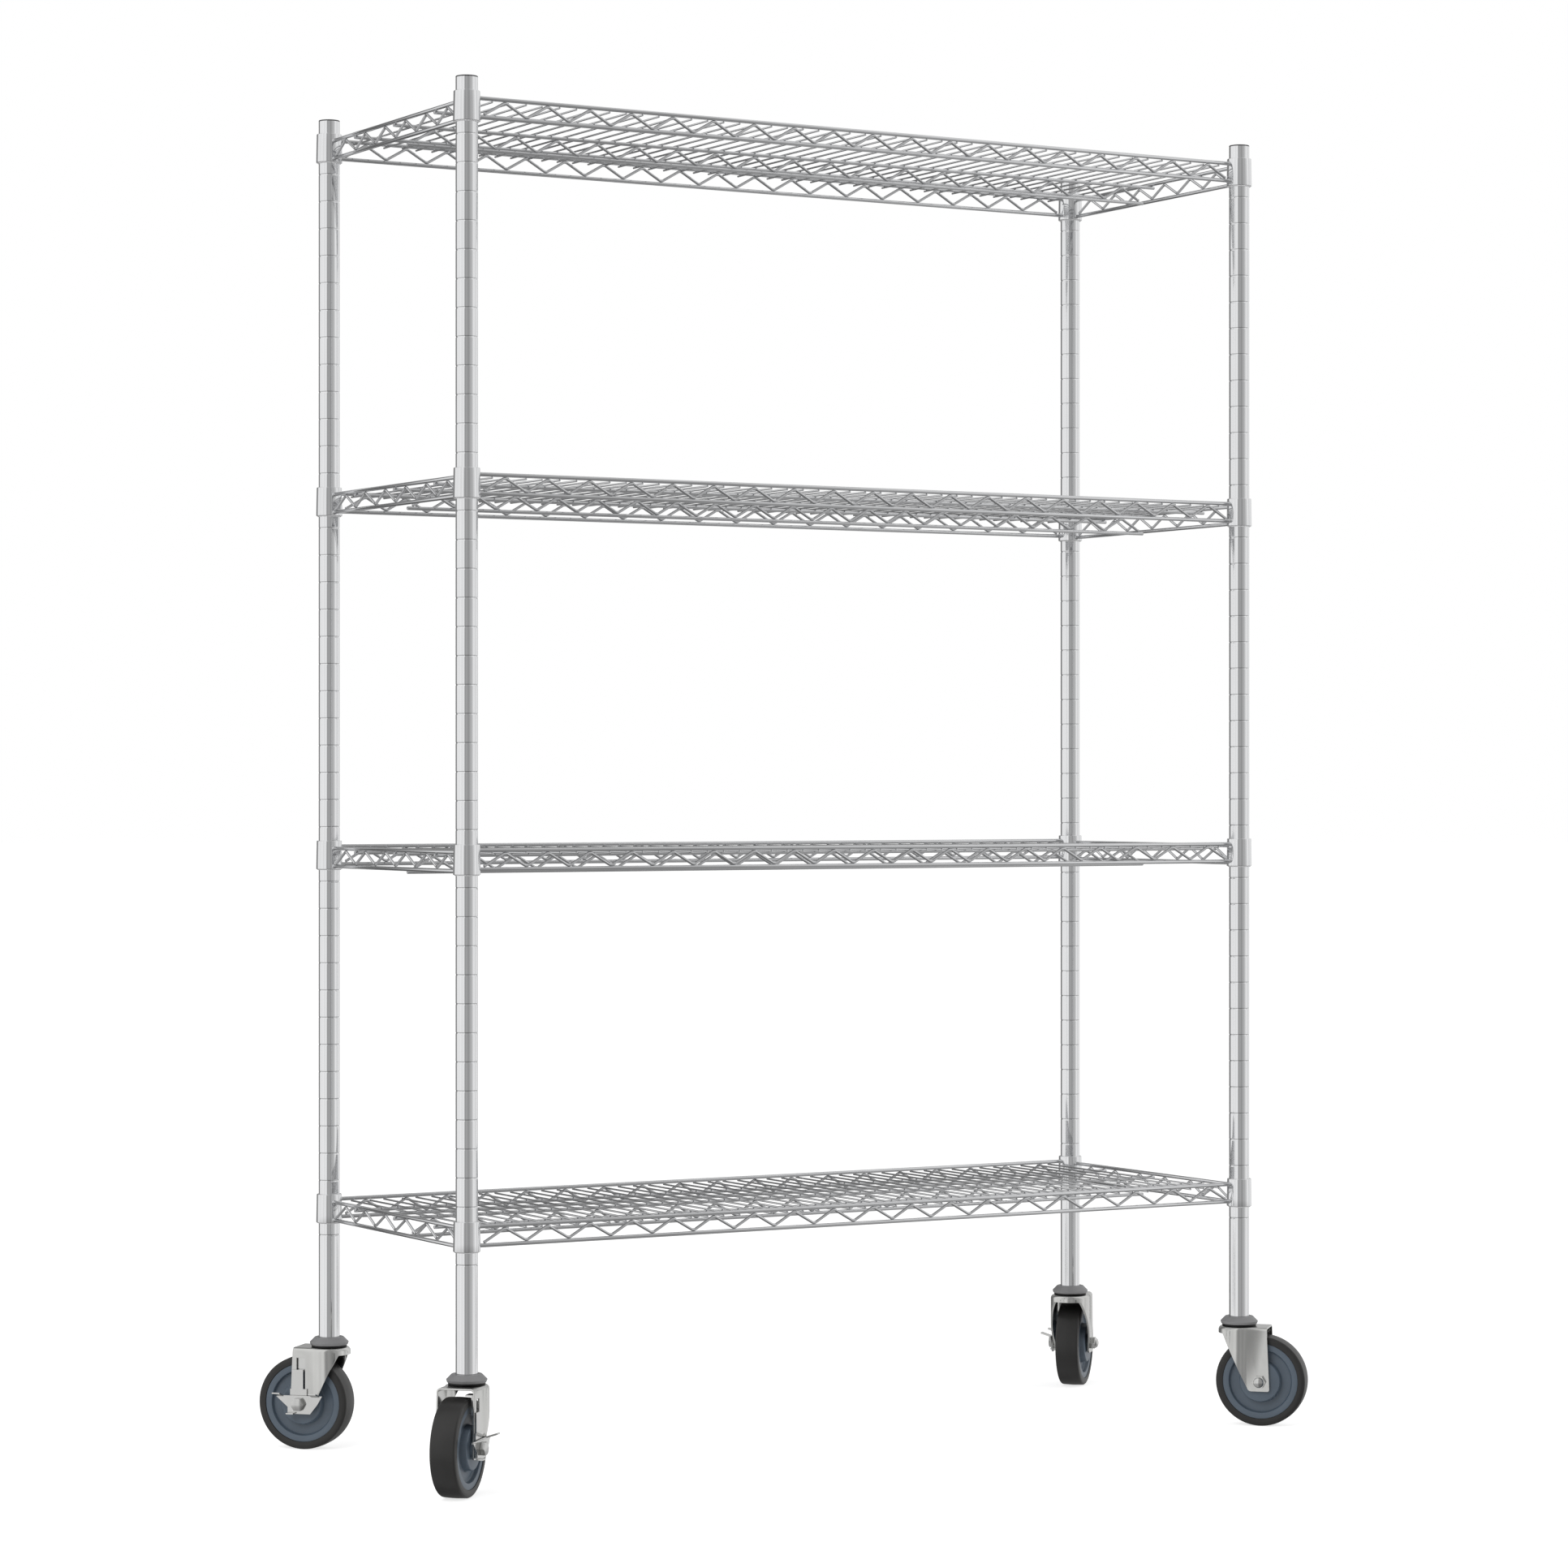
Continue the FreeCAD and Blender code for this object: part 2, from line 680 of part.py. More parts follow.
def make_fork():
    """Pressed fork: slanted leg fronts, feet, axle holes, kingpin hole, brake slot."""
    body = new_body("fork_press")
    make_fork_blank(body)
    reach = f"{CROWN_RADIUS} * 2"
    skirt = f"({CROWN_TOP} - skirt_height)"
    cut = "PartDesign::Pocket"
    near = f"(-{CROWN_RADIUS} * 2)"
    deep = f"{CROWN_RADIUS} * 4"
    across(cut, body, "leg_fronts", [
        (f"-({reach})", f"{LEG_LOW} - fork_wall"),
        ("trail - foot_front", f"{LEG_LOW} - fork_wall"),
        ("trail - foot_front", LEG_LOW),
        ("-skirt_corner", skirt),
        (f"-({reach})", skirt),
    ], near, deep)
    across(cut, body, "leg_backs", [
        ("trail + foot_back", LEG_LOW),
        (f"trail + foot_back + {reach}", LEG_LOW),
        (f"trail + foot_back + {reach}", f"{CROWN_TOP} + fork_wall"),
        ("trail + crown_back", f"{CROWN_TOP} + fork_wall"),
        ("trail + crown_back", CROWN_TOP),
    ], near, deep)
    drilled(body, "axle_holes", "XZ_Plane", "trail", "wheel_radius", "axle_radius + hole_clearance")
    drilled(body, "kingpin_hole", "XY_Plane", "0", "0", "kingpin_radius + running_clearance")
    left = "trail - slot_offset - slot_width / 2"
    right = "trail - slot_offset + slot_width / 2"
    across(cut, body, "brake_slot", [
        (left, "wheel_radius + slot_low"),
        (right, "wheel_radius + slot_low"),
        (right, "wheel_radius + slot_high"),
        (left, "wheel_radius + slot_high"),
    ], f"{FORK_INSIDE} - fork_wall", "fork_wall * 3")
    doc.recompute()
    foot = size("wheel_radius") - size("leg_foot")

    def at_foot(edge, front):
        box = edge.BoundBox
        near = box.ZMax < foot + 1e-3
        return near and runs_along_y(edge) and (box.XMax < size("trail")) == front

    rounded(body, "foot_front_corners", "foot_front_bend", lambda edge: at_foot(edge, True))
    rounded(body, "foot_back_corners", "foot_back_bend", lambda edge: at_foot(edge, False))
    return body


def make_hub():
    """Wheel core on its own axis: rim, thin web, boss and nave."""
    nave = f"({FORK_INSIDE} - face_gap)"
    rim_outer = "wheel_radius - tyre_depth"
    bore = "axle_radius + running_clearance"
    upper = [
        (bore, nave),
        ("nave_radius", nave),
        ("nave_radius", "boss_width / 2"),
        ("boss_radius", "boss_width / 2"),
        ("boss_radius", "web_width / 2"),
        ("rim_inner", "web_width / 2"),
        ("rim_inner", "rim_width / 2"),
        (rim_outer, "rim_width / 2"),
    ]
    lower = [(radius, f"-({height})") for radius, height in reversed(upper)]
    body = new_body("hub_core")
    turned(body, "core", upper + lower)
    for name, radius in (("boss_edges", "boss_radius"), ("rim_edges", "rim_inner")):
        rounded(body, name, "web_width / 12", lambda edge: is_circle(edge, size(radius)))
    return body


def make_tyre():
    """Solid tyre with round shoulders."""
    inner = "wheel_radius - tyre_depth"
    body = new_body("tyre_ring")
    turned(body, "tyre", [
        (inner, "-tyre_width / 2"),
        ("wheel_radius", "-tyre_width / 2"),
        ("wheel_radius", "tyre_width / 2"),
        (inner, "tyre_width / 2"),
    ])
    rounded(body, "shoulders", "tyre_shoulder", lambda edge: is_circle(edge, size("wheel_radius")))
    return body


def hexagon():
    """Corners of a hexagon across its flats."""
    point = "hex_flats / sqrt(3)"
    half = "hex_flats / 2"
    return [
        (point, "0"),
        (f"{point} / 2", half),
        (f"-{point} / 2", half),
        (f"-{point}", "0"),
        (f"-{point} / 2", f"-{half}"),
        (f"{point} / 2", f"-{half}"),
    ]


def make_bolt():
    """Axle bolt on Z: hexagon head above its seat, shank below it."""
    seat = HEAD_NEAR
    end = f"-({FORK_HALF} + nut_height)"
    tip = "axle_radius / 5"
    body = new_body("bolt_forging")
    turned(body, "shank", [
        ("0", end),
        (f"axle_radius - {tip}", end),
        ("axle_radius", f"{end} + {tip}"),
        ("axle_radius", seat),
        ("0", seat),
    ])
    extruded("PartDesign::Pad", body, "head", "XY_Plane", hexagon(), seat, "hex_height")
    point = size("hex_flats") / math.sqrt(3)
    trim = new_sketch(body, "head_chamfer_outline", "XZ_Plane")
    top = f"{seat} + hex_height"
    add_polygon(trim, [
        ("hex_flats / 2", top),
        (f"{point} + hex_flats", top),
        (f"{point} + hex_flats", f"{top} - hex_flats"),
        (f"{point}", f"{top} - ({point} - hex_flats / 2) / sqrt(3)"),
    ])
    chamfer = body.newObject("PartDesign::Groove", "head_chamfer")
    chamfer.Profile = trim
    chamfer.ReferenceAxis = (trim, ["V_Axis"])
    chamfer.Angle = 360
    return body


def make_nut():
    """Domed hexagon nut on Z, seated on the fork's plain leg and opening upward."""
    seat = f"-{FORK_HALF}"
    top_of_dome = f"{seat} - nut_height - nut_dome"
    dome_root = "hex_flats * 0.46"
    body = new_body("nut_forging")
    extruded("PartDesign::Pad", body, "hexagon", "XY_Plane", hexagon(),
             f"{seat} - nut_height", "nut_height")
    turned(body, "dome", [
        ("0", f"{seat} - nut_height + hole_clearance"),
        (dome_root, f"{seat} - nut_height + hole_clearance"),
        (dome_root, f"{seat} - nut_height"),
        (f"{dome_root} * 0.8", f"{seat} - nut_height - nut_dome * 0.7"),
        (f"{dome_root} * 0.4", top_of_dome),
        ("0", top_of_dome),
    ])
    sketch = new_sketch(body, "thread_outline", "XY_Plane", f"{seat} + hex_flats")
    add_circle(sketch, "0", "0", "axle_radius + hole_clearance / 4")
    thread = body.newObject("PartDesign::Pocket", "thread")
    thread.Profile = sketch
    bind(thread, "Length", "hex_flats + nut_height + hole_clearance * 2")
    return body


def make_strap():
    """Brake strap: plate outside the leg, tongue through its slot, shoe over the tread."""
    pad = "PartDesign::Pad"
    left = "trail + strap_shift - strap_width / 2"
    right = "trail + strap_shift + strap_width / 2"
    foot_left = "trail + strap_shift / 2 - strap_foot_width / 2"
    foot_right = "trail + strap_shift / 2 + strap_foot_width / 2"
    foot_low = "wheel_radius - strap_foot_low"
    foot_top = "wheel_radius + strap_foot_top"
    shelf = "(wheel_radius + strap_exit)"
    tongue_left = "(trail - slot_offset - strap_tongue / 2)"
    shoe_left = "(trail - slot_offset - shoe_width / 2)"
    inner_far = "(tyre_width / 2 + strap_room + brake_plate)"
    shoe_low = "(wheel_radius * 2 + shoe_lift)"
    body = new_body("strap_strip")
    across(pad, body, "outer_plate", [
        (foot_left, foot_low),
        (foot_right, foot_low),
        (foot_right, foot_top),
        (right, foot_top),
        (right, shelf),
        (left, shelf),
        (left, foot_top),
        (foot_left, foot_top),
    ], STRAP_NEAR, "brake_plate")
    extruded(pad, body, "tongue", "YZ_Plane", [
        (f"{STRAP_NEAR} + brake_plate", shelf),
        (f"{STRAP_NEAR} + brake_plate", f"{shelf} - brake_plate"),
        (f"{inner_far} - brake_plate", f"{shelf} - brake_plate"),
        (f"{inner_far} - brake_plate", shelf),
    ], tongue_left, "strap_tongue")
    extruded(pad, body, "riser_and_shoe", "YZ_Plane", [
        (inner_far, f"{shelf} - brake_plate * 2"),
        (f"{inner_far} - brake_plate", f"{shelf} - brake_plate * 2"),
        (f"{inner_far} - brake_plate", shoe_low),
        (f"{inner_far} - shoe_reach", shoe_low),
        (f"{inner_far} - shoe_reach", f"{shoe_low} + brake_plate"),
        (inner_far, f"{shoe_low} + brake_plate"),
    ], shoe_left, "shoe_width")
    half = "(axle_radius + face_gap)"
    across("PartDesign::Pocket", body, "axle_slot", [
        (f"trail - {half}", f"wheel_radius - {half}"),
        (f"trail + {half}", f"wheel_radius - {half}"),
        (f"trail + {half}", f"wheel_radius + {half} + strap_travel"),
        (f"trail - {half}", f"wheel_radius + {half} + strap_travel"),
    ], f"{STRAP_NEAR} - brake_plate", "brake_plate * 3")
    doc.recompute()
    slot_half = size("axle_radius") + size("face_gap")

    def in_slot(edge):
        off = abs(edge.BoundBox.XMin - size("trail"))
        low = edge.BoundBox.ZMax < size("wheel_radius") + size("strap_foot_top") / 2
        return low and runs_along_y(edge) and abs(off - slot_half) < 1e-3

    rounded(body, "slot_corners", "axle_radius * 0.9", in_slot)
    return body


def make_pedal():
    """Butterfly brake pedal: wings with foot treads above, a small tab below."""
    pad = "PartDesign::Pad"
    top = "wheel_radius + pedal_top"
    waist = "wheel_radius - pedal_waist_drop"
    foot = "wheel_radius - pedal_foot"
    far = f"({PEDAL_NEAR} + brake_plate)"
    body = new_body("pedal_plate")
    across(pad, body, "wings", [
        ("-pedal_waist - pedal_waist_drop / 4 + trail", foot),
        ("trail + pedal_waist", foot),
        ("trail + pedal_waist", waist),
        ("trail + pedal_wing", top),
        ("trail - pedal_wing", top),
        ("trail - pedal_cheek", "wheel_radius"),
    ], PEDAL_NEAR, "brake_plate")
    tread = [
        (PEDAL_NEAR, f"{top} - brake_plate"),
        (f"{far} + pedal_tread", f"{top} - brake_plate + pedal_tread_rise"),
        (f"{far} + pedal_tread", f"{top} + pedal_tread_rise"),
        (PEDAL_NEAR, top),
    ]
    width = "pedal_tread_width"
    inset = "brake_plate / 2"
    extruded(pad, body, "lock_tread", "YZ_Plane", tread,
             f"trail + pedal_wing - {inset} - {width}", width)
    extruded(pad, body, "release_tread", "YZ_Plane", tread,
             f"trail - pedal_wing + {inset} * 4", width)
    tab = [
        (PEDAL_NEAR, foot),
        (f"{far} + pedal_tab", foot),
        (f"{far} + pedal_tab", f"{foot} + brake_plate"),
        (PEDAL_NEAR, f"{foot} + brake_plate"),
    ]
    extruded(pad, body, "lower_tab", "YZ_Plane", tab, "trail + pedal_waist / 3", "pedal_waist * 2 / 3")
    doc.recompute()
    sketch = new_sketch(body, "pivot_outline", "XZ_Plane", f"-({PEDAL_NEAR} - brake_plate)")
    add_circle(sketch, "trail", "wheel_radius", "axle_radius + running_clearance")
    pivot = body.newObject("PartDesign::Pocket", "pivot")
    pivot.Profile = sketch
    bind(pivot, "Length", "brake_plate * 3")
    return body


# ---------------------------------------------------------------- the rack

# corner name: side along X, side along Y, direction in which the caster trails
CORNERS = {
    "left_front": (-1, -1, 225),
    "left_back": (-1, 1, 135),
    "right_front": (1, -1, 315),
    "right_back": (1, 1, 45),
}


def at_corner(name, links, corner, z="0", turned_out=False):
    """Set a copy of some objects at a post's axis."""
    side_x, side_y, trail_angle = CORNERS[corner]
    angle = trail_angle if turned_out else 0
    return group(name, links, f"{side_x} * span_x / 2", f"{side_y} * span_y / 2", z, angle)


nodes = []

post = make_post()
for corner in CORNERS:
    nodes.append(at_corner(f"post_{corner}", [post], corner, POST_FOOT))
cap = make_cap()
nodes.append(group("post_caps", [
    at_corner(f"cap_{corner}", [cap], corner, POST_TOP) for corner in CORNERS]))

long_snake = make_snake("long_snake", long_bays, long_pitch)
end_snake = make_snake("end_snake", end_bays, end_pitch)
long_truss = make_perimeter_truss("long", "span_x", long_snake)
end_truss = make_perimeter_truss("end", "span_y", end_snake, END_DROP)
long_pair = [
    group(f"{name}_truss", long_truss, y=f"{side} * span_y / 2")
    for name, side in (("front", -1), ("back", 1))]
end_pair = [
    group(f"{name}_end_truss", end_truss, x=f"{side} * span_x / 2", angle=90)
    for name, side in (("left", -1), ("right", 1))]
middle_truss = make_middle_truss(long_snake)
deck = make_deck()
collar = make_collar()
collars = [at_corner(f"collar_{corner}", [collar], corner) for corner in CORNERS]
sleeve_half = make_sleeve_half()
sleeve = [sleeve_half, group("second_half", [sleeve_half], angle=180)]
sleeves = [at_corner(f"sleeve_{corner}", sleeve, corner) for corner in CORNERS]

shelf_count = round(size("shelf_count"))
shelf_step = (groove_count - 1 - round(size("first_groove"))) // (shelf_count - 1)
for shelf in range(1, shelf_count + 1):
    steps = f"(first_groove + {(shelf - 1) * shelf_step})"
    level = f"{POST_FOOT} + groove_start + groove_pitch * {steps}"
    prefix = f"shelf_{shelf}_"
    nodes.append(group(prefix + "long_trusses", long_pair, z=level))
    nodes.append(group(prefix + "end_trusses", end_pair, z=level))
    nodes.append(group(prefix + "middle_truss", middle_truss, z=level))
    nodes.append(group(prefix + "deck", deck, z=level))
    nodes.append(group(prefix + "collars", collars, z=level))
    nodes.append(group(prefix + "sleeves", sleeves, z=level))

stem = make_stem()
bumper = make_bumper()
nodes.append(group("caster_stems", [
    at_corner(f"stem_{corner}", [stem], corner) for corner in CORNERS]))
nodes.append(group("caster_bumpers", [
    at_corner(f"bumper_{corner}", [bumper], corner) for corner in CORNERS]))


def on_axle(name, piece):
    """Lay a piece made about Z along the wheel's axle, its top towards the brake."""
    return group(name, [piece], "trail", "0", "wheel_radius", -90, (1, 0, 0))


caster = {
    "fork": make_fork(),
    "hub": on_axle("hub_on_axle", make_hub()),
    "tyre": on_axle("tyre_on_axle", make_tyre()),
    "axle_bolt": on_axle("bolt_on_axle", make_bolt()),
    "axle_nut": on_axle("nut_on_axle", make_nut()),
    "brake_strap": make_strap(),
    "brake_pedal": make_pedal(),
}
for corner in CORNERS:
    for piece, master in caster.items():
        nodes.append(at_corner(f"{corner}_{piece}", [master], corner, turned_out=True))

doc.recompute()

# ---------------------------------------------------------------- checks and files

for item in doc.Objects:
    if "Invalid" in item.State or "Error" in item.State:
        raise RuntimeError(f"{item.Label} did not compute: {item.State}")

for node in nodes:
    if node.Shape.isNull() or not node.Shape.isValid() or not node.Shape.Solids:
        raise RuntimeError(f"{node.Label} has no valid solid")
    node.Shape.exportStep(f"parts/{node.Label}.step")

print(len(nodes), "nodes")
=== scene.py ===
import json
import math
import bmesh
import bpy
from mathutils import Matrix, Vector


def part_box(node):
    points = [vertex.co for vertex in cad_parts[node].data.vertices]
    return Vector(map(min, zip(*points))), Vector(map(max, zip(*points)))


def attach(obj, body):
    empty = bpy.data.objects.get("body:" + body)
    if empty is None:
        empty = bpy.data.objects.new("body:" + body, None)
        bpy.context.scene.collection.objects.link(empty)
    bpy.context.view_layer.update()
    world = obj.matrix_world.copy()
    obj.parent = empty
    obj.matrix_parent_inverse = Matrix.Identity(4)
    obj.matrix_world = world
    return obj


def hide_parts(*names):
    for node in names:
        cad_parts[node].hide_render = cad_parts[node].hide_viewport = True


# Wire shelving rack on swivel casters. Metres, +Z up, origin on the floor under the rack's middle.

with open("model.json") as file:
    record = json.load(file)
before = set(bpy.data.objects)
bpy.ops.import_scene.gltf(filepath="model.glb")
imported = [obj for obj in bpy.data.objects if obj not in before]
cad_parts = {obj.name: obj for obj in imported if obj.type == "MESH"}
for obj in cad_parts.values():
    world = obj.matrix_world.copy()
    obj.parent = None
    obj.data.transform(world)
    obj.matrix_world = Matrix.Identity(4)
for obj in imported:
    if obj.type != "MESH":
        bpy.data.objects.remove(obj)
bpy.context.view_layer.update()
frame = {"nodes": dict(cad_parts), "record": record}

MM = 0.001
CORNERS = ("left_front", "left_back", "right_front", "right_back")
SHELVES = range(1, 5)
DOME = ((0.55, 0.0), (0.85, 0.10), (1.0, 0.45))  # a wire's end: share of radius, way in from the tip

# ---------------------------------------------------------------- mesh helpers


def new_object(name, bm, material, sharp=40.0):
    """Turn a bmesh into an object with smooth faces, keeping edges sharper than an angle."""
    bm.normal_update()
    limit = math.radians(sharp)
    for face in bm.faces:
        face.smooth = True
    for edge in bm.edges:
        two = len(edge.link_faces) == 2
        edge.smooth = two and edge.calc_face_angle(0.0) < limit
    mesh = bpy.data.meshes.new(name)
    bm.to_mesh(mesh)
    bm.free()
    mesh.materials.append(material)
    thing = bpy.data.objects.new(name, mesh)
    bpy.context.scene.collection.objects.link(thing)
    return thing


def twin(name, source, offset):
    """Another object with the same mesh, moved by an offset."""
    thing = bpy.data.objects.new(name, source.data)
    thing.matrix_world = Matrix.Translation(offset) @ source.matrix_world
    bpy.context.scene.collection.objects.link(thing)
    return thing


def settle(thing, body, slot, *nodes):
    """Tie a finished piece to its body and hide the CAD nodes it stands for; slot is not used."""
    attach(thing, body)
    if nodes:
        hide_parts(*nodes)
    return thing


def add_lathe(bm, profile, place=Matrix(), sides=64):
    """Add a closed solid of revolution about Z from a closed loop of (radius, height)."""
    rings = []
    for radius, height in profile:
        if radius < 1e-7:
            rings.append([bm.verts.new(place @ Vector((0, 0, height)))])
            continue
        ring = []
        for i in range(sides):
            turn = 2 * math.pi * i / sides
            spot = Vector((radius * math.cos(turn), radius * math.sin(turn), height))
            ring.append(bm.verts.new(place @ spot))
        rings.append(ring)
    for a, b in zip(rings, rings[1:] + rings[:1]):
        if len(a) == 1 and len(b) == 1:
            continue
        for i in range(sides):
            j = (i + 1) % sides
            if len(a) == 1:
                bm.faces.new((a[0], b[j], b[i]))
            elif len(b) == 1:
                bm.faces.new((a[i], a[j], b[0]))
            else:
                bm.faces.new((a[i], a[j], b[j], b[i]))


def rounded_profile(corners, steps=4):
    """Round the corners of a closed outline; each corner is (radius, height, bend)."""
    out = []
    count = len(corners)
    for i, (r, z, bend) in enumerate(corners):
        here = Vector((r, z))
        if bend <= 0:
            out.append((r, z))
            continue
        before = Vector(corners[i - 1][:2]) - here
        after = Vector(corners[(i + 1) % count][:2]) - here
        turn = before.angle(after)
        cut = bend / math.tan(turn / 2)
        cut = min(cut, before.length * 0.499, after.length * 0.499)
        bend = cut * math.tan(turn / 2)
        a = here + before.normalized() * cut
        b = here + after.normalized() * cut
        middle = here + (before.normalized() + after.normalized()).normalized() * (
            bend / math.sin(turn / 2))
        start = a - middle
        end = b - middle
        sweep = start.angle_signed(end)
        for k in range(steps + 1):
            spin = -sweep * k / steps
            arm = Vector((start.x * math.cos(spin) - start.y * math.sin(spin),
                          start.x * math.sin(spin) + start.y * math.cos(spin)))
            out.append(tuple(middle + arm))
    return out


def add_tube(bm, points, radius, across, sides=16):
    """Add a round wire along points, with lightly domed ends. across is one fixed normal."""
    across = Vector(across).normalized()
    rings = []
    last = len(points) - 1

    def ring_at(spot, along, size):
        up = along.cross(across).normalized()
        ring = []
        for i in range(sides):
            turn = 2 * math.pi * i / sides
            arm = across * math.cos(turn) + up * math.sin(turn)
            ring.append(bm.verts.new(spot + arm * size))
        return ring

    for i, spot in enumerate(points):
        before = (spot - points[i - 1]).normalized() if i else None
        after = (points[i + 1] - spot).normalized() if i < last else None
        if before is None:
            for size, back in DOME:
                rings.append(ring_at(spot + after * radius * back, after, radius * size))
        elif after is None:
            for size, back in reversed(DOME):
                rings.append(ring_at(spot - before * radius * back, before, radius * size))
        else:
            rings.append(ring_at(spot, (before + after).normalized(), radius))
    for a, b in zip(rings, rings[1:]):
        for i in range(sides):
            j = (i + 1) % sides
            bm.faces.new((a[i], a[j], b[j], b[i]))
    bm.faces.new(list(reversed(rings[0])))
    bm.faces.new(rings[-1])


def add_blob(bm, place, size, sides=12, rows=7):
    """Add a small ellipsoid, such as a weld."""
    made = bmesh.ops.create_uvsphere(bm, u_segments=sides, v_segments=rows, radius=1.0)
    bmesh.ops.transform(bm, verts=made["verts"],
                        matrix=place @ Matrix.Diagonal((*size, 1.0)))


# ---------------------------------------------------------------- materials


def fill_ramp(ramp, stops):
    """Set a colour ramp's elements from (position, colour) pairs."""
    while len(ramp.elements) < len(stops):
        ramp.elements.new(0.5)
    for element, (at, colour) in zip(ramp.elements, stops):
        element.position = at
        element.color = (*colour, 1.0)


class Nodes:
    """Small helper that wires up one procedural material."""

    def __init__(self, name):
        self.material = bpy.data.materials.new(name)
        self.material.use_nodes = True
        self.tree = self.material.node_tree
        self.shader = next(n for n in self.tree.nodes if n.type == "BSDF_PRINCIPLED")
        self.coords = self.tree.nodes.new("ShaderNodeTexCoord").outputs["Object"]

    def add(self, kind, **inputs):
        node = self.tree.nodes.new(kind)
        for key, value in inputs.items():
            socket = node.inputs[key.replace("_", " ")]
            if isinstance(value, bpy.types.NodeSocket):
                self.tree.links.new(value, socket)
            else:
                socket.default_value = value
        return node

    def scaled(self, x, y, z):
        return self.add("ShaderNodeMapping", Vector=self.coords, Scale=(x, y, z)).outputs[0]

    def noise(self, scale, detail=3.0, where=None):
        vector = where if where is not None else self.coords
        return self.add("ShaderNodeTexNoise", Vector=vector, Scale=scale,
                        Detail=detail).outputs["Fac"]

    def ramp(self, value, stops):
        node = self.add("ShaderNodeValToRGB", Fac=value)
        fill_ramp(node.color_ramp, stops)
        return node.outputs["Color"]

    def to_range(self, value, low, high):
        node = self.add("ShaderNodeMapRange", Value=value)
        node.inputs["To Min"].default_value = low
        node.inputs["To Max"].default_value = high
        return node.outputs["Result"]

    def link(self, value, socket):
        self.tree.links.new(value, self.shader.inputs[socket])

    def bump(self, height, strength, distance):
        node = self.add("ShaderNodeBump", Height=height, Strength=strength, Distance=distance)
        self.link(node.outputs["Normal"], "Normal")


def tint(colour, gain):
    return tuple(min(1.0, c * gain) for c in colour)


def mottled(m, colour, scale, variation):
    """Base colour that wanders a little round one colour."""
    stops = [(0.3, tint(colour, 1 - variation)), (0.7, tint(colour, 1 + variation))]
    m.link(m.ramp(m.noise(scale, 4.0), stops), "Base Color")


def metal(name, colour, rough, streak, variation, bump):
    """Plated metal: colour mottling, streaked roughness and a faint bump."""
    m = Nodes(name)
    m.shader.inputs["Metallic"].default_value = 1.0
    mottled(m, colour, 9.0, variation)
    grain = m.noise(1.0, 5.0, m.scaled(*streak))
    m.link(m.to_range(grain, rough * 0.7, rough * 1.35), "Roughness")
    m.bump(grain, bump, 0.00004)
    return m.material


def plastic(name, colour, rough, grain_scale, variation=0.12, bump=0.25):
    """Moulded plastic or rubber: fine grain, slight mottling."""
    m = Nodes(name)
    mottled(m, colour, 26.0, variation)
    grain = m.noise(grain_scale, 3.0)
    m.link(m.to_range(grain, rough * 0.85, rough * 1.2), "Roughness")
    m.bump(grain, bump, 0.00006)
    return m.material


CHROME_POST = metal("chrome_on_posts", (0.85, 0.855, 0.865), 0.06, (900, 900, 14), 0.02, 0.04)
CHROME_WIRE = metal("chrome_on_wire", (0.69, 0.695, 0.705), 0.09, (400, 400, 400), 0.04, 0.06)
CHROME_COLLAR = metal("chrome_on_collars", (0.84, 0.845, 0.855), 0.08, (500, 500, 60), 0.03, 0.05)
ZINC_FORK = metal("zinc_on_forks", (0.64, 0.64, 0.625), 0.17, (160, 160, 60), 0.07, 0.12)
ZINC_BRAKE = metal("zinc_on_brakes", (0.66, 0.66, 0.65), 0.15, (240, 240, 80), 0.06, 0.10)
ZINC_BOLT = metal("zinc_on_bolts", (0.66, 0.66, 0.65), 0.18, (300, 300, 300), 0.07, 0.12)
RACE = metal("dark_races", (0.035, 0.035, 0.035), 0.42, (300, 300, 300), 0.10, 0.10)
CAP_BLACK = plastic("black_caps", (0.022, 0.022, 0.023), 0.38, 900.0)
SLEEVE_GREY = plastic("grey_sleeves", (0.5, 0.5, 0.505), 0.40, 900.0, 0.06, 0.15)
BUMPER_GREY = plastic("grey_bumpers", (0.17, 0.17, 0.173), 0.34, 700.0, 0.06, 0.15)
HUB_PLASTIC = plastic("blue_grey_hubs", (0.066, 0.087, 0.112), 0.34, 600.0, 0.07, 0.15)
TYRE_RUBBER = plastic("dark_tyres", (0.015, 0.0145, 0.014), 0.40, 800.0, 0.14, 0.35)

# ---------------------------------------------------------------- posts and caps


def middle(node):
    """Middle and half size of a CAD node's box."""
    low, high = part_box(node)
    return (low + high) / 2, (high - low) / 2


post_spot = {}
for corner in CORNERS:
    centre = middle(f"post_{corner}")[0]
    post_spot[corner] = Vector((centre.x, centre.y, 0))
post_low, post_high = (v.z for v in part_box("post_left_front"))
post_r = middle("post_left_front")[1].x

GROOVE_PITCH = 36.25 * MM
GROOVE_START = post_low + 137.4 * MM
GROOVE_HALF = 0.85 * MM
GROOVE_DEPTH = 0.5 * MM
WALL = 1.5 * MM
BARE_TOP = 20 * MM
PLUG_R = post_r - WALL - 0.1 * MM


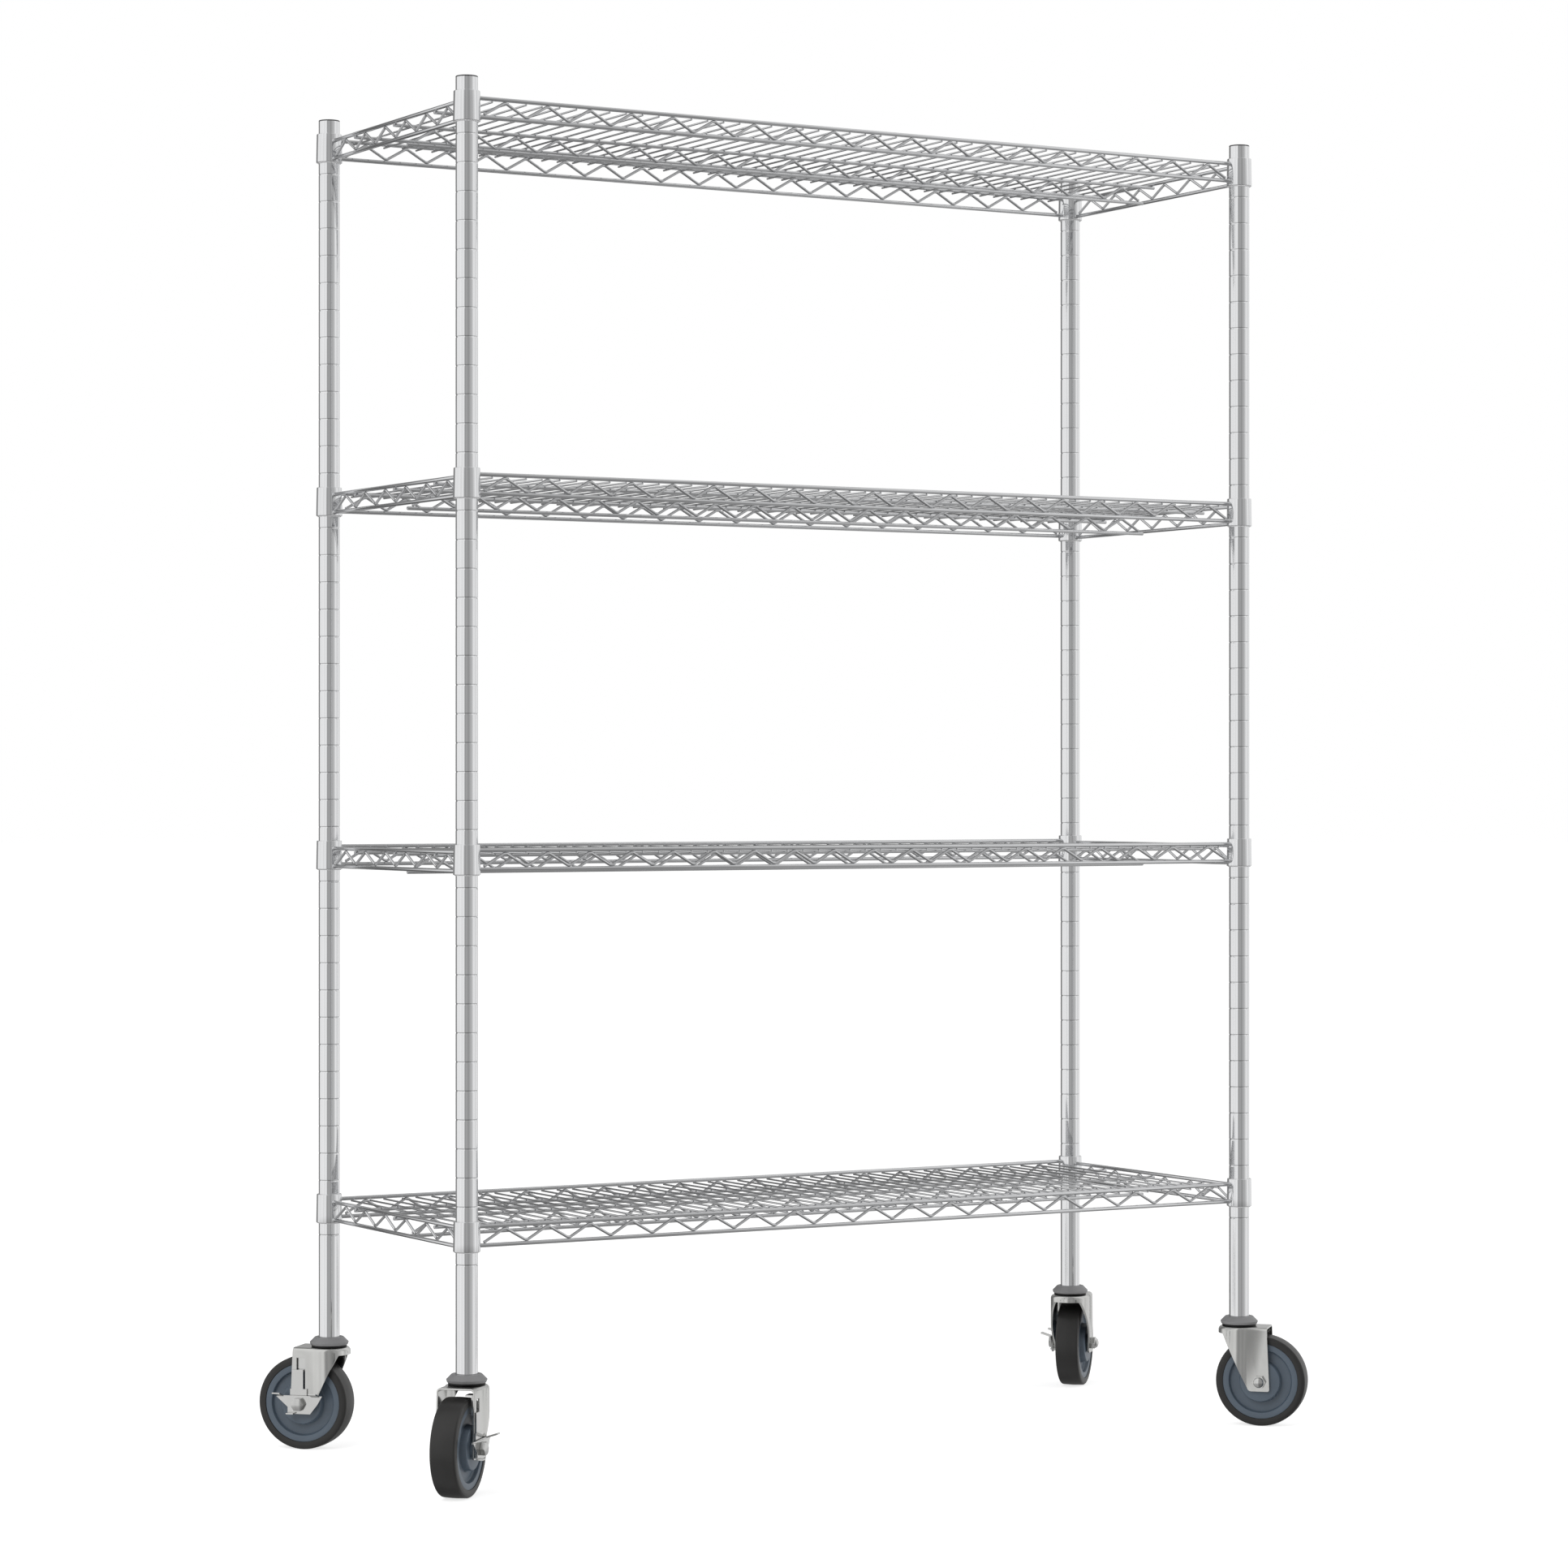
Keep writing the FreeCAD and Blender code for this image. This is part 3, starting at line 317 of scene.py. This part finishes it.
def build_posts():
    """One grooved tube, repeated at the four corners."""
    bm = bmesh.new()
    profile = [(post_r - WALL, post_low), (post_r - 0.2 * MM, post_low),
               (post_r, post_low + 0.2 * MM), (post_r, post_low + 0.5 * MM)]
    level = GROOVE_START
    while level < post_high - BARE_TOP:
        lower = [
            (post_r, level - GROOVE_HALF - 0.9 * MM),
            (post_r, level - GROOVE_HALF - 0.35 * MM),
            (post_r - 0.08 * MM, level - GROOVE_HALF),
            (post_r - GROOVE_DEPTH * 0.75, level - GROOVE_HALF * 0.55),
        ]
        upper = [(radius, 2 * level - height) for radius, height in reversed(lower)]
        profile += lower + [(post_r - GROOVE_DEPTH, level)] + upper
        level += GROOVE_PITCH
    profile += [(post_r, post_high - 0.5 * MM), (post_r, post_high - 0.2 * MM),
                (post_r - 0.2 * MM, post_high), (post_r - WALL, post_high)]
    add_lathe(bm, profile, sides=72)
    first = new_object("post_left_front_tube", bm, CHROME_POST, 80)
    first.location = post_spot["left_front"]
    bpy.context.view_layer.update()
    for corner in CORNERS:
        thing = first if corner == "left_front" else twin(
            f"post_{corner}_tube", first, post_spot[corner] - post_spot["left_front"])
        settle(thing, "frame", "chrome_post", f"post_{corner}")


def build_caps():
    """A thin disc with a plug inside each post."""
    low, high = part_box("post_caps")
    bm = bmesh.new()
    profile = rounded_profile([
        (0, low.z, 0), (PLUG_R, low.z, 0.5 * MM), (PLUG_R, post_high, 0),
        (post_r, post_high, 0.3 * MM), (post_r, high.z, 0.7 * MM), (0, high.z, 0)])
    for corner in CORNERS:
        add_lathe(bm, profile, Matrix.Translation(post_spot[corner]))
    settle(new_object("black_post_caps", bm, CAP_BLACK), "frame", "cap_black", "post_caps")


# ---------------------------------------------------------------- shelves

SNAKE_R = 1.85 * MM
SNAKE_BEND = 4.0 * MM
SNAKE_FLAT = 2.0 * MM
SNAKE_MARGIN = 23.2 * MM
SNAKE_STEPS = 5
BAY = 60 * MM
WELD_STAND = 0.55 * MM
MIDDLE_INSET = 16 * MM
DECK_R = 1.25 * MM
DECK_PITCH = 23.75 * MM
COLLAR_WALL = 1.6 * MM
COLLAR_TAPER = 0.7 * MM
SLEEVE_STEPS = 24


def snake_points(half_span, bays, low, rise):
    """Centre line of a zigzag wire in a (along, up) plane."""
    pitch = 2 * half_span / bays
    corners = [Vector((-half_span, low))]
    for bay in range(bays):
        valley = -half_span + bay * pitch
        corners += [Vector((valley + SNAKE_FLAT, low)),
                    Vector((valley + pitch / 2 - SNAKE_FLAT, low + rise)),
                    Vector((valley + pitch / 2 + SNAKE_FLAT, low + rise)),
                    Vector((valley + pitch - SNAKE_FLAT, low))]
    corners.append(Vector((half_span, low)))
    out = [corners[0]]
    for before, here, after in zip(corners, corners[1:], corners[2:]):
        a = (before - here).normalized()
        b = (after - here).normalized()
        turn = a.angle(b)
        cut = SNAKE_BEND / math.tan(turn / 2)
        centre = here + (a + b).normalized() * (SNAKE_BEND / math.sin(turn / 2))
        start = here + a * cut - centre
        sweep = math.pi - turn
        sign = 1 if a.x * b.y - a.y * b.x < 0 else -1
        for k in range(SNAKE_STEPS + 1):
            spin = sign * sweep * k / SNAKE_STEPS
            out.append(centre + Vector((start.x * math.cos(spin) - start.y * math.sin(spin),
                                        start.x * math.sin(spin) + start.y * math.cos(spin))))
    out.append(corners[-1])
    return out


def add_truss(bm, place, half_span, chords, radii, snake_half, bays):
    """Two chords and a snake wire, drawn in local X and Z."""
    across = place.to_3x3() @ Vector((0, 1, 0))
    for (height, reach), radius in zip(chords, radii):
        ends = [place @ Vector((side * (half_span + reach), 0, height)) for side in (-1, 1)]
        add_tube(bm, ends, radius, across)
    low = chords[0][0] + radii[0] + SNAKE_R
    rise = chords[1][0] - radii[1] - SNAKE_R - low
    path = [place @ Vector((p.x, 0, p.y)) for p in snake_points(snake_half, bays, low, rise)]
    add_tube(bm, path, SNAKE_R, across)


def add_end_welds(bm, place, half_span, heights, radius):
    """Weld beads where chords meet the collars."""
    for side in (-1, 1):
        for height in heights:
            spot = place @ Matrix.Translation((side * half_span, 0, height))
            add_blob(bm, spot, (1.6 * MM, radius + WELD_STAND, radius + WELD_STAND))


span_x = post_spot["right_front"].x - post_spot["left_front"].x
span_y = post_spot["left_back"].y - post_spot["left_front"].y
long_half = span_x / 2 - SNAKE_MARGIN
end_half = span_y / 2 - SNAKE_MARGIN
long_bays = round(2 * long_half / BAY)
end_bays = 2 * round(end_half / BAY)


def build_first_shelf():
    """Pieces of the lowest shelf; the other shelves reuse their meshes."""
    made = {}
    node = "shelf_1_long_trusses"
    low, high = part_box(node)
    half = middle(node)[1]
    r = half.y - span_y / 2
    bm = bmesh.new()
    for side in (-1, 1):
        place = Matrix.Translation((0, side * span_y / 2, 0))
        chords = [(low.z + r, 0.0), (high.z - r, 0.0)]
        add_truss(bm, place, half.x, chords, (r, r), long_half, long_bays)
        add_end_welds(bm, place, half.x, [c[0] for c in chords], r)
    made["long_trusses"] = (new_object(f"{node}_wires", bm, CHROME_WIRE), "chrome_wire")

    node = "shelf_1_end_trusses"
    low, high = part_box(node)
    half = middle(node)[1]
    r = half.x - span_x / 2
    bm = bmesh.new()
    for side in (-1, 1):
        place = Matrix.Translation((side * span_x / 2, 0, 0)) @ Matrix.Rotation(math.pi / 2, 4, "Z")
        chords = [(low.z + r, 0.0), (high.z - r, 0.0)]
        add_truss(bm, place, half.y, chords, (r, r), end_half, end_bays)
        add_end_welds(bm, place, half.y, [c[0] for c in chords], r)
    made["end_trusses"] = (new_object(f"{node}_wires", bm, CHROME_WIRE), "chrome_wire")

    node = "shelf_1_middle_truss"
    low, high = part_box(node)
    half = middle(node)[1]
    r = half.y
    short = half.x - (span_x / 2 - MIDDLE_INSET)
    bm = bmesh.new()
    add_truss(bm, Matrix(), half.x, [(low.z + r, -short), (high.z - r, 0.0)], (r, r),
              long_half, long_bays)
    made["middle_truss"] = (new_object(f"{node}_wires", bm, CHROME_WIRE), "chrome_wire")

    node = "shelf_1_deck"
    made["deck"] = (new_object(f"{node}_wires", deck_mesh(node), CHROME_WIRE), "chrome_wire")

    node = "shelf_1_collars"
    low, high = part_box(node)
    half = middle(node)[1]
    wide = half.x - span_x / 2
    thin = wide - COLLAR_TAPER
    profile = rounded_profile([
        (wide - COLLAR_WALL, low.z, 0.3 * MM), (wide, low.z, 0.7 * MM),
        (thin, high.z, 0.8 * MM), (thin - COLLAR_WALL, high.z, 0.3 * MM)])
    bm = bmesh.new()
    for corner in CORNERS:
        add_lathe(bm, profile, Matrix.Translation(post_spot[corner]))
    made["collars"] = (new_object("shelf_1_collar_tubes", bm, CHROME_COLLAR), "chrome_collar")

    sleeves = new_object("shelf_1_split_sleeves", sleeve_mesh(), SLEEVE_GREY)
    made["sleeves"] = (sleeves, "sleeve_grey")
    return made


def sleeve_mesh():
    """Split sleeves round the four posts: two halves each, a thin lip under the collar."""
    low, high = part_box("shelf_1_sleeves")
    bore = post_r + 0.03 * MM
    wide = middle("shelf_1_sleeves")[1].x - span_x / 2
    thin = post_r + 1.0 * MM
    gap = math.asin(0.6 * MM / wide)
    outline = [(bore, low.z), (wide - 0.2 * MM, low.z), (wide, low.z + 0.2 * MM),
               (thin, high.z), (bore, high.z)]
    bm = bmesh.new()
    for corner in CORNERS:
        for half in (0.0, math.pi):
            slices = []
            for i in range(SLEEVE_STEPS + 1):
                turn = half + gap + (math.pi - 2 * gap) * i / SLEEVE_STEPS
                arm = Vector((math.cos(turn), math.sin(turn), 0))
                slices.append([bm.verts.new(post_spot[corner] + arm * radius + Vector((0, 0, z)))
                               for radius, z in outline])
            for a, b in zip(slices, slices[1:]):
                for k in range(len(outline)):
                    m = (k + 1) % len(outline)
                    bm.faces.new((a[k], b[k], b[m], a[m]))
            bm.faces.new(slices[0])
            bm.faces.new(list(reversed(slices[-1])))
    bmesh.ops.recalc_face_normals(bm, faces=bm.faces)
    return bm


def deck_mesh(node):
    """Deck wires at their places, and the two quarter stringers."""
    low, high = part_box(node)
    bm = bmesh.new()
    height = high.z - DECK_R
    source = frame["nodes"][node].data
    columns = {}
    stringers = []
    r = (high.z - low.z - 2 * DECK_R) / 2
    for vertex in source.vertices:
        x, y, z = vertex.co
        if z > high.z - DECK_R * 1.2:
            columns.setdefault(round(x / DECK_PITCH * 2), []).append(y)
        if z < low.z + r * 0.2:
            stringers.append(y)
    for key, ys in columns.items():
        x = key * DECK_PITCH / 2
        add_tube(bm, [Vector((x, min(ys), height)), Vector((x, max(ys), height))],
                 DECK_R, (0, 0, 1))
    away = sum(abs(y) for y in stringers) / len(stringers)
    for side in (-1, 1):
        ends = [Vector((x, side * away, low.z + r)) for x in (low.x, high.x)]
        add_tube(bm, ends, r, (0, 1, 0))
    return bm


def build_shelves():
    """Four shelves from the meshes of the first."""
    first = build_first_shelf()
    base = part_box("shelf_1_collars")[0].z
    for shelf in SHELVES:
        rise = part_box(f"shelf_{shelf}_collars")[0].z - base
        for part, (source, slot) in first.items():
            name = source.name.replace("shelf_1", f"shelf_{shelf}")
            thing = source if shelf == 1 else twin(name, source, Vector((0, 0, rise)))
            settle(thing, "frame", slot, f"shelf_{shelf}_{part}")


# ---------------------------------------------------------------- casters


def refined(node, name, material, width, segments=2, sharp=35.0):
    """Copy of a CAD piece with its edges broken by a small bevel."""
    bm = bmesh.new()
    bm.from_mesh(frame["nodes"][node].data)
    bmesh.ops.remove_doubles(bm, verts=bm.verts, dist=2e-6)
    bmesh.ops.dissolve_limit(bm, angle_limit=math.radians(0.6), verts=bm.verts, edges=bm.edges)
    thing = new_object(name, bm, material, sharp)
    bevel = thing.modifiers.new("broken_edges", "BEVEL")
    bevel.width = width
    bevel.segments = segments
    bevel.limit_method = "ANGLE"
    bevel.angle_limit = math.radians(sharp)
    bevel.harden_normals = True
    bevel.use_clamp_overlap = True
    return thing


joints = {j["name"]: j for j in frame["record"]["behaviour"]["joints"]}


def axle_frame(corner):
    """Matrix at a wheel's middle, with Z along its axle."""
    pivot = Vector(joints[f"{corner}_swivel"]["pos_m"])
    axle = Vector(joints[f"{corner}_roll"]["pos_m"])
    trail = Vector((axle.x - pivot.x, axle.y - pivot.y, 0))
    turn = math.atan2(trail.y, trail.x)
    place = Matrix.Translation((pivot.x, pivot.y, 0)) @ Matrix.Rotation(turn, 4, "Z")
    return place @ Matrix.Translation((trail.length, 0, axle.z)) @ Matrix.Rotation(
        -math.pi / 2, 4, "X")


WHEEL_R = 62.5 * MM
TYRE_INNER = 52.0 * MM
TYRE_SHOULDER = 57.0 * MM
TYRE_HALF = 17.0 * MM
STEM_GAP_R = 12.5 * MM


def tyre_profile():
    """Half outline, then its mirror image across the wheel's middle."""
    near = [(TYRE_INNER, -TYRE_HALF, 0.8 * MM), (TYRE_SHOULDER, -TYRE_HALF, 1.5 * MM),
            (WHEEL_R - 0.6 * MM, -TYRE_HALF + 0.6 * MM, 5.0 * MM), (WHEEL_R, -2.0 * MM, 6 * MM)]
    far = [(r, -z, bend) for r, z, bend in reversed(near)]
    return rounded_profile(near + far, 8)


def hub_profile():
    """Bore, nave, web and rim in millimetres, mirrored across the wheel's middle."""
    half = [
        (5.05, 22.5, 0.3), (13.0, 22.5, 0.8), (13.0, 20.5, 0.4), (27.5, 20.5, 1.6),
        (29.0, 10.0, 2.2), (42.6, 10.0, 2.2), (43.8, 16.0, 0.9), (52.0, 16.0, 0.4)]
    upper = [(r * MM, z * MM, b * MM) for r, z, b in half]
    lower = [(r, -z, b) for r, z, b in reversed(upper)]
    return rounded_profile(upper + lower, 5)


def bumper_profile():
    """Cone that widens down to a rim, round the post's foot and the stem."""
    low, high = (v.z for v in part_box("caster_bumpers"))
    r = middle("caster_bumpers")[1].x - span_x / 2
    return rounded_profile([
        (STEM_GAP_R, low, 0.2 * MM), (24.6 * MM, low, 0.5 * MM),
        (r, low + 3.6 * MM, 0.9 * MM), (19.2 * MM, high, 0.8 * MM),
        (post_r + 0.1 * MM, high, 0.5 * MM), (post_r + 0.1 * MM, post_low, 0),
        (STEM_GAP_R, post_low, 0)], 5)


def build_casters():
    """Lathed tyres, hubs and bumpers; bevelled copies of the CAD's pressed parts."""
    bumper = bmesh.new()
    for corner in CORNERS:
        on_axle = axle_frame(corner)
        body = f"{corner}_caster"

        bm = bmesh.new()
        add_lathe(bm, tyre_profile(), on_axle, 128)
        settle(new_object(f"{corner}_tyre_ring", bm, TYRE_RUBBER, 50), f"{corner}_wheel",
               "tyre_rubber", f"{corner}_tyre")
        bm = bmesh.new()
        add_lathe(bm, hub_profile(), on_axle, 96)
        settle(new_object(f"{corner}_hub_core", bm, HUB_PLASTIC, 50), f"{corner}_wheel",
               "hub_plastic", f"{corner}_hub")

        for piece, ride, material, slot, width in (
                ("fork", body, ZINC_FORK, "fork_zinc", 0.55),
                ("axle_bolt", body, ZINC_BOLT, "bolt_zinc", 0.35),
                ("axle_nut", body, ZINC_BOLT, "bolt_zinc", 0.35),
                ("brake_pedal", f"{corner}_pedal", ZINC_BRAKE, "brake_zinc", 0.5),
                ("brake_strap", f"{corner}_strap", ZINC_BRAKE, "brake_zinc", 0.45)):
            node = f"{corner}_{piece}"
            settle(refined(node, f"{node}_finished", material, width * MM), ride, slot, node)
        add_lathe(bumper, bumper_profile(), Matrix.Translation(post_spot[corner]), 72)
    settle(new_object("grey_bumper_rings", bumper, BUMPER_GREY, 50), "frame", "bumper_grey",
           "caster_bumpers")
    settle(refined("caster_stems", "caster_stem_set", RACE, 0.3 * MM), "frame", "race_steel",
           "caster_stems")


build_posts()
build_caps()
build_shelves()
build_casters()

# ---------------------------------------------------------------- studio


def build_world():
    """Soft studio surroundings: bright sides, darker in front, behind and below.

    The camera itself sees plain white.
    """
    world = bpy.data.worlds.new("studio")
    bpy.context.scene.world = world
    world.use_nodes = True
    tree = world.node_tree
    tree.nodes.clear()
    add = tree.nodes.new
    link = tree.links.new
    direction = add("ShaderNodeTexCoord").outputs["Generated"]
    split = add("ShaderNodeSeparateXYZ")
    link(direction, split.inputs[0])
    azimuth = add("ShaderNodeMath")
    azimuth.operation = "ARCTAN2"
    link(split.outputs["Y"], azimuth.inputs[0])
    link(split.outputs["X"], azimuth.inputs[1])
    around = add("ShaderNodeMapRange")
    around.inputs["From Min"].default_value = -math.pi
    around.inputs["From Max"].default_value = math.pi
    link(azimuth.outputs[0], around.inputs["Value"])
    ring = add("ShaderNodeValToRGB")
    link(around.outputs[0], ring.inputs["Fac"])
    # (share of a full turn from -X, counter-clockwise; grey)
    stops = [(0.00, 0.93), (0.045, 0.80), (0.075, 0.92), (0.102, 0.90), (0.118, 0.42),
             (0.14, 0.33), (0.175, 0.43), (0.215, 0.32), (0.255, 0.37), (0.28, 0.50),
             (0.30, 0.42), (0.335, 0.62), (0.37, 0.74), (0.40, 0.98), (0.43, 0.70),
             (0.48, 0.84), (0.56, 0.84), (0.66, 0.50), (0.72, 0.26), (0.80, 0.16),
             (0.83, 0.45), (0.86, 0.93), (0.94, 0.86), (1.0, 0.93)]
    fill_ramp(ring.color_ramp, [(at, (grey, grey, grey)) for at, grey in stops])
    height = add("ShaderNodeMapRange")
    height.inputs["From Min"].default_value = -0.5
    height.inputs["From Max"].default_value = 0.5
    link(split.outputs["Z"], height.inputs["Value"])
    band = add("ShaderNodeValToRGB")
    link(height.outputs[0], band.inputs["Fac"])
    # (height, from half below to half above the horizon; grey)
    levels = [(0.0, 0.50), (0.20, 0.60), (0.34, 1.0), (0.75, 1.0), (1.0, 1.05)]
    fill_ramp(band.color_ramp, [(at, (grey, grey, grey)) for at, grey in levels])
    product = add("ShaderNodeMix")
    product.data_type = "RGBA"
    product.blend_type = "MULTIPLY"
    product.inputs["Factor"].default_value = 1.0
    link(ring.outputs[0], product.inputs["A"])
    link(band.outputs[0], product.inputs["B"])
    studio = add("ShaderNodeBackground")
    link(product.outputs["Result"], studio.inputs["Color"])
    studio.inputs["Strength"].default_value = 1.0
    plain = add("ShaderNodeBackground")
    plain.inputs["Color"].default_value = (1, 1, 1, 1)
    plain.inputs["Strength"].default_value = 1.0
    seen = add("ShaderNodeLightPath")
    mix = add("ShaderNodeMixShader")
    link(seen.outputs["Is Camera Ray"], mix.inputs[0])
    link(studio.outputs[0], mix.inputs[1])
    link(plain.outputs[0], mix.inputs[2])
    out = add("ShaderNodeOutputWorld")
    link(mix.outputs[0], out.inputs["Surface"])


def build_floor():
    """Plain pale disc, left out of the chrome's reflections."""
    floor = Nodes("pale_floor")
    floor.shader.inputs["Base Color"].default_value = (0.5, 0.5, 0.5, 1)
    floor.shader.inputs["Roughness"].default_value = 0.9
    floor.shader.inputs["Specular IOR Level"].default_value = 0.0
    floor.shader.inputs["Emission Color"].default_value = (1, 1, 1, 1)
    floor.shader.inputs["Emission Strength"].default_value = 0.72
    bm = bmesh.new()
    bmesh.ops.create_circle(bm, cap_ends=True, segments=64, radius=60)
    plane = new_object("studio_floor", bm, floor.material)
    plane.visible_glossy = False


CAMERA_SPOT = (-2.9567, -5.1113, 0.8876)
CAMERA_TURN = math.radians(-29.93)
CAMERA_LENS = 99.6


def add_light(name, spot, size, power, aim=(0, 0, 0.9)):
    """Soft rectangle aimed at the rack's middle, unseen in the chrome."""
    data = bpy.data.lights.new(name, "AREA")
    data.shape = "RECTANGLE"
    data.size, data.size_y = size
    data.energy = power
    light = bpy.data.objects.new(name, data)
    light.location = spot
    light.rotation_euler = (Vector(aim) - Vector(spot)).to_track_quat("-Z", "Y").to_euler()
    bpy.context.scene.collection.objects.link(light)
    light.visible_glossy = False


def build_camera():
    """Level camera at the photograph's viewing angle."""
    data = bpy.data.cameras.new("camera")
    data.lens = CAMERA_LENS
    data.sensor_width = 36.0
    camera = bpy.data.objects.new("camera", data)
    camera.location = CAMERA_SPOT
    camera.rotation_euler = (math.radians(90), 0, CAMERA_TURN)
    bpy.context.scene.collection.objects.link(camera)
    bpy.context.scene.camera = camera


build_world()
build_floor()
add_light("key_light", (-3.6, -2.2, 3.4), (2.6, 2.6), 120)
add_light("fill_light", (3.4, -3.0, 2.6), (2.2, 2.2), 60)
build_camera()
bpy.context.scene.view_settings.view_transform = "Standard"
